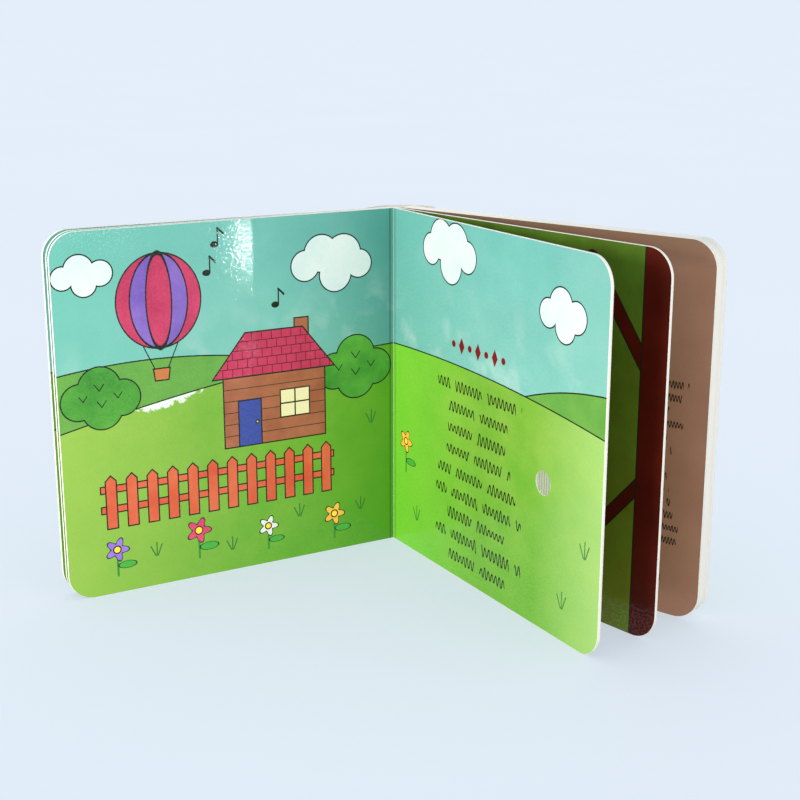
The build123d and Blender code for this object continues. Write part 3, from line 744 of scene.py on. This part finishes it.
def paint_words(
    face, centre, first, leading, count, widths, tint, letter=3.7, tall=1.9, heavy=0.42, seed=0.0
):
    """Rows of a handwriting-like scribble in word lengths, in place of the text.

    The rows are centred, count of them down from the first at the leading. Widths are the least
    and the greatest half width of a row. Letter, tall and heavy are the width and half height of
    a letter and half the width of its line.
    """
    word_length = letter * 5.5
    word_gap = 0.16
    wave_length = letter * 0.62
    wave_turn = 2 * pi / wave_length
    row_place = face.make("Math", (face.height, -1 / leading, first / leading + 0.5), **SCALED)
    row = face.make("Math", (row_place,), operation="FLOOR")
    within = face.make("Math", (row_place,), operation="FRACT")
    rise = face.make("Math", (within, -leading, leading / 2), **SCALED)
    run = face.make("Math", (face.across, centre), operation="SUBTRACT")
    # Each row has its own width by chance
    number = face.make("Math", (row, 1, seed + 0.5), **SCALED)
    chance = face.make("TexWhiteNoise", {1: number}, noise_dimensions="1D")
    half = face.make("Math", (chance, widths[1] - widths[0], widths[0]), **SCALED)
    from_middle = face.make("Math", (run,), operation="ABSOLUTE")
    inside = face.make("Math", (from_middle, half), operation="LESS_THAN")
    last_half = (count - 1) / 2
    rows = face.make("Math", (row, last_half, last_half + 0.25), operation="COMPARE")
    word = face.make("Math", (run, 1 / word_length, chance), **SCALED)
    word = face.make("Math", (word,), operation="FRACT")
    gap = face.make("Math", (word, word_gap), operation="GREATER_THAN")
    # A wave of uneven height stands for the letters
    along = face.make("Math", (run, 1 / letter, seed), **SCALED)
    lane = face.make("Math", (row, 5.3, seed), **SCALED)
    spot = face.make("CombineXYZ", (along, lane))
    uneven = face.make("TexNoise", {0: spot, 2: 0.9, 3: 1.0, 4: 0.5})
    reach = face.make("Math", (uneven, 1.8 * tall, 0.1 * tall), **SCALED)
    phase = face.make("Math", (run, wave_turn, seed), **SCALED)
    sine = face.make("Math", (phase,), operation="SINE")
    line = face.make("Math", (sine, reach), operation="MULTIPLY")
    # Its height above or below the wave, divided by the slope, is the distance from the line
    cosine = face.make("Math", (phase,), operation="COSINE")
    steep = face.make("Math", (cosine, reach), operation="MULTIPLY")
    steep = face.make("Math", (steep, wave_turn, 0), **SCALED)
    steep = face.make("Math", (steep, steep, 1.0), **SCALED)
    steep = face.make("Math", (steep,), operation="SQRT")
    away = face.make("Math", (face.apart(rise, line), steep), operation="DIVIDE")
    mask = face.make("Math", (away, -1 / print_softness, 0.5 + heavy / print_softness), **CLAMPED)
    face.over(face.gather([mask, inside, rows, gap], "MULTIPLY"), tint)


def picture_page():
    """Left page of the open spread; places run from -160 at the fore-edge to 0 at the gutter."""
    face = PrintedFace("gloss_laminated_picture_page", mirrored=True)
    # Towards the gutter the sky and grass turn darker: partly the print, partly painted shade in the fold
    gutter_run = (0, 62, 0.65, "#2c7566", "#35820c")
    edge_run = (-160, 90, 0.6, "#5da695", "#93b14c")
    paint_meadow(face, (gutter_run, edge_run))
    paint_cloud(face, (-32, 137), broad_cloud)
    paint_cloud(face, (-146, 141), ((-9, 0, 5), (-2, 3, 6.5), (7, 1, 5.5), (0, -3, 5.5)))
    for head in ((-88, 150), (-92, 138), (-60, 121)):
        paint_note(face, head, 7)
    paint_balloon(face, (-114, 128), 19)
    paint_bush(face, (-142, 88), ((-9, 0, 8), (0, 5, 9.5), (10, 0, 8), (1, -4, 9)))
    paint_bush(face, (-20, 88), ((-11, -1, 8.5), (0, 5, 10), (10, -1, 8.5), (0, -5, 10)))
    paint_cottage(face, (-86, 58), 50, 32)
    paint_fence(face, (-144, 30), (-32, 54), 9.4)
    for foot in ((-120, 14), (-50, 20), (-12, 60), (-84, 10), (-18, 18)):
        paint_tuft(face, foot, 6)
    paint_flower(face, (-138, 20), 5.5, face.wash("#a487d0", "#7152b4"), 12)
    paint_flower(face, (-100, 22), 6, face.wash("#dd5478", "#b42a52"), 13)
    paint_flower(face, (-66, 18), 5, paper_white, 11)
    paint_flower(face, (-32, 18), 5.5, face.wash("#e8c44e", "#d8952f"), 12)
    return face.laminate()


def text_page():
    """Right page of the open spread; places run from 0 at the gutter to 160 at the fore-edge."""
    face = PrintedFace("gloss_laminated_text_page")
    gutter_run = (0, 75, 0.7, "#5c9f92", "#6cc32c")
    edge_run = (160, 45, 0.5, "#78ab9f", "#aac87c")
    paint_meadow(face, (gutter_run, edge_run))
    paint_cloud(face, (48, 146), ((-14, 0, 7), (-6, 5, 9), (6, 4, 9.5), (15, 0, 7), (2, -5, 8.5)))
    paint_cloud(face, (132, 133), short_cloud)
    # Row of lozenges and dots over the scribbled lines
    title_marks = []
    title_start = 53
    title_pitch = 6.4
    y = 107
    for number in range(7):
        x = title_start + title_pitch * number
        if number % 2:
            title_marks.append(face.polygon([(x - 2.2, y), (x, y - 3.8), (x + 2.2, y), (x, y + 3.8)]))
        else:
            title_marks.append(face.disc((x, y), 1.5))
    face.fill(face.joined(title_marks), "#6e0c14")
    soot = "#10160c"
    paint_words(face, 73, 88.5, 9.9, 9, (22, 34), soot, letter=4.6, tall=1.7, heavy=0.38, seed=11.0)
    paint_flower(face, (12, 52), 5.5, face.wash("#f7c04a", "#e58a2a"), 15)
    for foot in ((136, 14), (150, 40), (22, 16)):
        paint_tuft(face, foot, 7)
    return face.laminate()


def grove_page(name, mirrored=False):
    """A dark green page with a timber post and its brace along the fore-edge."""
    face = PrintedFace(name, mirrored=mirrored)
    sign = -1 if mirrored else 1
    shade = face.make("Math", (face.height, 1 / 150, -0.05), **CLAMPED)
    low = face.wash("#66831c", "#66640d")
    high = face.wash("#567a22", "#435a14")
    face.colour = face.make("Mix", {0: shade, 6: low, 7: high}, **COLOUR_MIX)
    timber = face.wash("#561206", "#3f0a02")
    brace = face.stroke((sign * 120, 152), (sign * 150, 112), 3.2)
    lower_brace = face.stroke((sign * 126, 40), (sign * 150, 66), 2.6)
    face.paint(face.joined([brace, lower_brace]), timber)
    post = sorted((sign * 147, sign * 161))
    face.paint(face.box((post[0], -1), (post[1], 161)), timber)
    paint_words(face, sign * 84, 118, 9.9, 10, (26, 38), "#0c1006", seed=23.0)
    return face.laminate()


def brown_page():
    """The page on the sound block: plain brown, with a band of painted shade darker at its top, and small
    rows.
    """
    face = PrintedFace("gloss_laminated_brown_page")
    face.colour = face.wash("#ab7c64", "#9e7058")
    # Painted shade: the top of the page is darker, in a band from 148 mm up
    top = face.make("Math", (face.height, 1 / 14, -148 / 14), **CLAMPED)
    face.over(top, "#6e5542")
    umber = "#1c0e08"
    paint_words(face, 84, 100, 5.6, 16, (54, 68), umber, letter=2.3, tall=1.0, heavy=0.26, seed=41.0)
    return face.laminate()


def meadow_page(name, mirrored=False):
    """The meadow with clouds and flowers, for inner pages and covers; it has no laminate yet."""
    face = PrintedFace(name, mirrored=mirrored)
    sign = -1 if mirrored else 1
    paint_meadow(face)
    paint_cloud(face, (sign * 50, 138), broad_cloud)
    paint_cloud(face, (sign * 118, 126), short_cloud)
    for place in (34, 78, 118):
        pink = face.wash("#f0648a", "#c7305c")
        paint_flower(face, (sign * place, 24), 5.5, pink, 14)
    for place in (56, 98, 140):
        paint_tuft(face, (sign * place, 14), 7)
    return face


def front_cover_print():
    """Outside of the front cover: meadow, sun, balloon and notes."""
    face = meadow_page("gloss_laminated_front_cover")
    face.paint(face.disc((132, 150), 15), face.wash("#fbe07a", "#f3b83c"))
    paint_balloon(face, (82, 112), 24)
    for head in ((28, 112), (40, 120), (124, 108), (136, 116)):
        paint_note(face, head, 8)
    return face.laminate()


def cut_board():
    """White board, die cut: a matt fibrous edge with faint plies 0.1 mm thick."""
    material, tree, shader = new_material("white_board_cut_edge")
    place = add(tree, "Attribute", give=1, attribute_name="page_place")
    plies = add(tree, "VectorMath", (place, (60, 60, 9000)), operation="MULTIPLY")
    ply = add(tree, "TexNoise", {0: plies, 2: 1.0, 3: 3.0, 4: 0.6})
    fibre = add(tree, "TexNoise", {0: place, 2: 2600.0, 3: 3.0, 4: 0.7})
    mixed = add(tree, "Math", (ply, 0.6, fibre), **SCALED)
    tone = add(tree, "ValToRGB", (mixed,))
    ramp = tone.node.color_ramp
    ramp.elements[0].position = 0.45
    ramp.elements[0].color = colour_of("#c3beb0")
    ramp.elements[1].position = 0.95
    ramp.elements[1].color = colour_of("#dad7ce")
    tree.links.new(tone, shader["Base Color"])
    rough = add(tree, "Bump", {0: 0.35, 1: 0.06 * MM, 3: mixed})
    tree.links.new(rough, shader["Normal"])
    shader["Roughness"].default_value = 0.85
    return material


def drifting_tint(tree, shader, scale, detail, roughness, pale, deep):
    """A base colour that drifts between two tints with a noise, which is handed back."""
    place = add(tree, "TexCoord", give=3)
    drift = add(tree, "TexNoise", {0: place, 2: scale, 3: detail, 4: roughness})
    tone = add(tree, "Mix", {0: drift, 6: pale, 7: deep}, **COLOUR_MIX)
    tree.links.new(tone, shader["Base Color"])
    return drift


def plain_liner():
    """Uncoated white board, on the hidden sides of the block: a warm white, quite matt."""
    material, tree, shader = new_material("uncoated_white_board")
    fibre = drifting_tint(tree, shader, 900.0, 4.0, 0.7, "#f4f1e8", "#fcfbf6")
    tree.links.new(add(tree, "Bump", {0: 0.2, 1: 0.05 * MM, 3: fibre}), shader["Normal"])
    shader["Roughness"].default_value = 0.8
    return material


def grained_finish(name, pale, deep, roughness, grain_size):
    """A stuff coloured right through, such as moulded ABS: an even tint, its gloss softened by grain.

    The grain is drawn coarser than the real one, so that it shows.
    """
    material, tree, shader = new_material(name)
    place = add(tree, "TexCoord", give=3)
    grain = add(tree, "TexNoise", {0: place, 2: 1 / grain_size, 3: 2.0, 4: 0.6})
    drifting_tint(tree, shader, 120.0, 2.0, 0.5, pale, deep)
    tree.links.new(add(tree, "Bump", {0: 0.3, 1: 0.03 * MM, 3: grain}), shader["Normal"])
    shader["Roughness"].default_value = roughness
    shader["IOR"].default_value = 1.49
    return material


def window_plastic():
    """Moulded milky polystyrene over the light sensor: a pale grey disc, slightly clear."""
    material, tree, shader = new_material("milky_ribbed_polystyrene")
    drifting_tint(tree, shader, 300.0, 2.0, 0.5, "#8f977f", "#a4ab93")
    shader["Roughness"].default_value = 0.3
    shader["Subsurface Weight"].default_value = 0.2
    shader["Subsurface Radius"].default_value = (1 * MM, 1 * MM, 1 * MM)
    return material


def plated_metal(name, pale, deep, roughness, scratch_size):
    """Plated steel: a bright metal, its shine broken by fine handling marks."""
    material, tree, shader = new_material(name)
    marks = drifting_tint(tree, shader, 1 / scratch_size, 5.0, 0.75, pale, deep)
    worn = add(tree, "Math", (marks, 0.25, roughness - 0.1), **SCALED)
    tree.links.new(worn, shader["Roughness"])
    shader["Metallic"].default_value = 1.0
    return material


# Camera
camera_data = bpy.data.cameras.new("photo_camera")
camera_data.sensor_width = sensor_width
camera_data.lens = focal_pixels * sensor_width / photo_width
camera = into_scene("photo_camera", camera_data)
camera.location = gutter + camera_from_gutter
camera.rotation_euler = (radians(90 - camera_pitch), 0, 0)
bpy.context.scene.camera = camera

# Pages: leaves 1 to 4, the hinge margin of the front cover and the folded backs
cut_edge = cut_board()
picture = picture_page()
words = text_page()
grove_left = grove_page("gloss_laminated_grove_left", mirrored=True)
grove_right = grove_page("gloss_laminated_grove_right")
meadow_left = meadow_page("gloss_laminated_meadow_left", mirrored=True).laminate()
meadow_right = meadow_page("gloss_laminated_meadow_right").laminate()
brown = brown_page()
cover_print = front_cover_print()
window_hole = ((window_from_spine, window_height), window_radius)

page_prints = [cut_edge, picture, words, grove_left, grove_right, meadow_left, meadow_right]
PICTURE, WORDS, GROVE_LEFT, GROVE_RIGHT, MEADOW_LEFT, MEADOW_RIGHT = range(1, 7)
FRONT, BACK = 1, 2
page_meshes = []
for foot, heading, side, front, back, holes in (
    (gutter, picture_heading, LEFT, PICTURE, MEADOW_RIGHT, []),
    (inner_left_foot, inner_left_heading, LEFT, MEADOW_LEFT, MEADOW_RIGHT, []),
    (gutter, text_heading, RIGHT, WORDS, GROVE_LEFT, [window_hole]),
    (inner_right_foot, inner_right_heading, RIGHT, GROVE_RIGHT, MEADOW_LEFT, [window_hole]),
):
    place = board_place(foot, heading, side)
    page_meshes.append(board_mesh(place, leaf_thickness, front, back, holes=holes))
cover_place = board_place(margin_foot, cover_heading, LEFT)
margin_mesh = board_mesh(
    cover_place,
    leaf_thickness,
    MEADOW_LEFT,
    MEADOW_RIGHT,
    near_edge=-margin_lap,
    far_edge=front_crease - crease_gap,
    radius=0,
)
page_meshes += [margin_mesh, fold_mesh()]
piece_of("leaves", page_meshes, page_prints, "page_block", ["pages"])

# Front cover
cover_mesh = board_mesh(cover_place, cover_thickness, FRONT, BACK, near_edge=front_crease)
cover_finishes = [cut_edge, meadow_left, cover_print]
piece_of("cover_board", [cover_mesh], cover_finishes, "front_cover", ["front_cover"])

# Spine strip, bent by the block's hinge
strip_mesh, strip_start, strip_end = spine_mesh()
strip = piece_of("spine_wrap", [strip_mesh], [cut_edge, meadow_right], None, ["spine_strip"])
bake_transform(strip)

# Sound block: lining, frame and back cover
unit_hole = (unit_low, unit_high, unit_corner)
door_hole = (door_low, door_high, door_corner)
back_holes = [door_hole, (speaker_centre, sound_hole_radius)]
for number in range(sound_hole_ring):
    turn = 2 * pi * number / sound_hole_ring
    reach = Vector((cos(turn), sin(turn))) * sound_hole_pitch
    back_holes.append((tuple(Vector(speaker_centre) + reach), sound_hole_radius))
liner = plain_liner()
# The boards lie one behind the other, and the last finish of each is that of its back
depth = 0.0
for name, node, thickness, near_edge, holes, layers in (
    ("block_page", "block_lining", lining_thickness, 0.0, [window_hole], [cut_edge, brown, liner]),
    ("block_board", "block_frame", frame_thickness, 0.0, [unit_hole], [cut_edge, liner]),
    ("back_board", "back_cover", cover_thickness, back_crease, back_holes, [cut_edge, liner, meadow_left]),
):
    place = board_place(block_foot, block_heading, RIGHT, depth)
    mesh = board_mesh(place, thickness, FRONT, len(layers) - 1, near_edge=near_edge, holes=holes)
    piece_of(name, [mesh], layers, "sound_block", [node])
    depth += thickness

# Finishes of the pieces that keep their CAD shape
window = window_plastic()
# Moulded ABS: white with a soft sheen
white_plastic = grained_finish("moulded_white_abs", "#f0efe9", "#e6e5de", 0.45, 0.35 * MM)
# Spark-eroded ABS: the same white, duller
door_plastic = grained_finish("spark_eroded_white_abs", "#efeee8", "#e2e1da", 0.55, 0.25 * MM)
# Nickel plate on spring strip: a warm shine
nickel = plated_metal("nickel_plated_spring_strip", "#cfcabb", "#b3ad9c", 0.3, 0.4 * MM)
# Zinc plate on steel: a cool, slightly dull shine
zinc = plated_metal("zinc_plated_steel", "#c3c6c9", "#8f9398", 0.35, 0.3 * MM)
# Drawn stainless steel: a clean, even shine
can = plated_metal("drawn_stainless_can", "#d9d9d6", "#b7b7b3", 0.25, 0.5 * MM)
# Sintered ferrite: almost black and dull
ferrite = grained_finish("sintered_ferrite", "#2c2c2e", "#1d1d1f", 0.7, 0.2 * MM)
# Drawn polyester film: milky and glossy
film = grained_finish("clear_polyester_film", "#b9b6ab", "#a3a095", 0.25, 1.0 * MM)
# Solder-masked laminate: an even green, half glossy
board_laminate = grained_finish("green_masked_laminate", "#1f6a35", "#17552a", 0.4, 0.6 * MM)
# Poured resin: a glossy black drop
resin = grained_finish("poured_black_resin", "#151515", "#0c0c0c", 0.2, 1.2 * MM)
# Coated photocell: a glossy orange brown
photocell = grained_finish("clear_coated_sensor", "#c98f62", "#b0714a", 0.2, 0.5 * MM)
# PVC covering of the leads: a red with a soft sheen
covering = grained_finish("red_pvc_cover", "#a8231c", "#8a1812", 0.5, 0.5 * MM)
finishes = {
    window: ("text_leaf_window", "inner_leaf_window", "lining_window"),
    white_plastic: ("unit_tray", "unit_plate"),
    door_plastic: ("battery_door",),
    zinc: ("door_screw", "unit_screws", "speaker_frame"),
    nickel: ("end_contact", "link_contact", "door_contact", "side_contact"),
    can: ("button_cell_1", "button_cell_2", "button_cell_3"),
    ferrite: ("speaker_magnet",),
    film: ("speaker_cone",),
    board_laminate: ("circuit_board",),
    resin: ("chip_dome",),
    photocell: ("light_sensor",),
    covering: ("long_battery_lead", "short_battery_lead", "speaker_lead"),
}
for material, names in finishes.items():
    for name in names:
        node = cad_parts[name]
        node.data.materials.clear()
        node.data.materials.append(material)

# Studio: pale blue backdrop and a table of the same tint, lit through from below
backdrop_tint = colour_of("#e3eefa")
floor_reach = 12.0
table_glow = 0.62
shape = bmesh.new()
bmesh.ops.create_grid(shape, x_segments=1, y_segments=1, size=floor_reach)
floor_mesh = mesh_from(shape, "floor")
floor = into_scene("floor", floor_mesh)
# Opal acrylic, lit from below: matt, and as pale as the backdrop with hardly a shadow
floor_material, floor_tree, floor_shader = new_material("back_lit_acrylic_table")
drifting_tint(floor_tree, floor_shader, 3.0, 2.0, 0.5, "#a8a8a8", "#a4a4a4")
floor_shader["Roughness"].default_value = 1.0
floor_shader["Specular IOR Level"].default_value = 0.0
floor_shader["Emission Color"].default_value = backdrop_tint
floor_shader["Emission Strength"].default_value = table_glow
floor_mesh.materials.append(floor_material)

world = bpy.data.worlds.new("studio")
bpy.context.scene.world = world
world.use_nodes = True
world_inputs = world.node_tree.nodes["Background"].inputs
world_inputs["Color"].default_value = backdrop_tint
world_inputs["Strength"].default_value = 1.0

# The lamps are flagged off from the table
flagged = bpy.data.collections.new("out_of_lamps")
flagged.objects.link(floor)
flagged.collection_objects[0].light_linking.link_state = "EXCLUDE"


def hang_lamp(name, place, aim, size, power, tint):
    """A rectangular soft light at a place, turned to what it lights."""
    lamp = bpy.data.lights.new(name, "AREA")
    lamp.shape = "RECTANGLE"
    lamp.size, lamp.size_y = size
    lamp.energy = power
    lamp.color = colour_of(tint)[:3]
    lamp_object = into_scene(name, lamp)
    lamp_object.location = place
    lamp_object.rotation_euler = (aim - place).to_track_quat("-Z", "Y").to_euler()
    lamp_object.light_linking.receiver_collection = flagged
    return lamp_object


# Three soft boxes close by: two before the book, at its left and its right, and one behind it
book_middle = Vector((0, -0.03, 0.08))
for name, place, size, power in (
    ("left_soft_box", Vector((-0.42, -0.46, 0.20)), (0.25, 0.25), 4.0),
    ("front_soft_box", Vector((0.35, -0.66, 0.20)), (0.30, 0.30), 2.2),
    ("rear_soft_box", Vector((0.05, 0.80, 0.35)), (0.60, 0.40), 5.0),
):
    hang_lamp(name, place, book_middle, size, power, "#fff8ee")

# Two small lamps whose gloss alone shows on the picture leaf, at places along it and above its foot
for name, spot, size, power, distance in (
    ("upper_lamp", (63 * MM, 144 * MM), (0.024, 0.050), 1.5, 0.8),
    ("lower_lamp", (67 * MM, 101 * MM), (0.010, 0.006), 0.008, 0.35),
):
    place = board_place(gutter, picture_heading, LEFT) @ Vector((*spot, 0))
    bounce = (place - camera.location).normalized().reflect(outward(picture_heading, LEFT))
    glint = hang_lamp(name, place + bounce * distance, place, size, power, "#ffffff")
    glint.visible_diffuse = False

bpy.context.scene.view_settings.view_transform = "Standard"
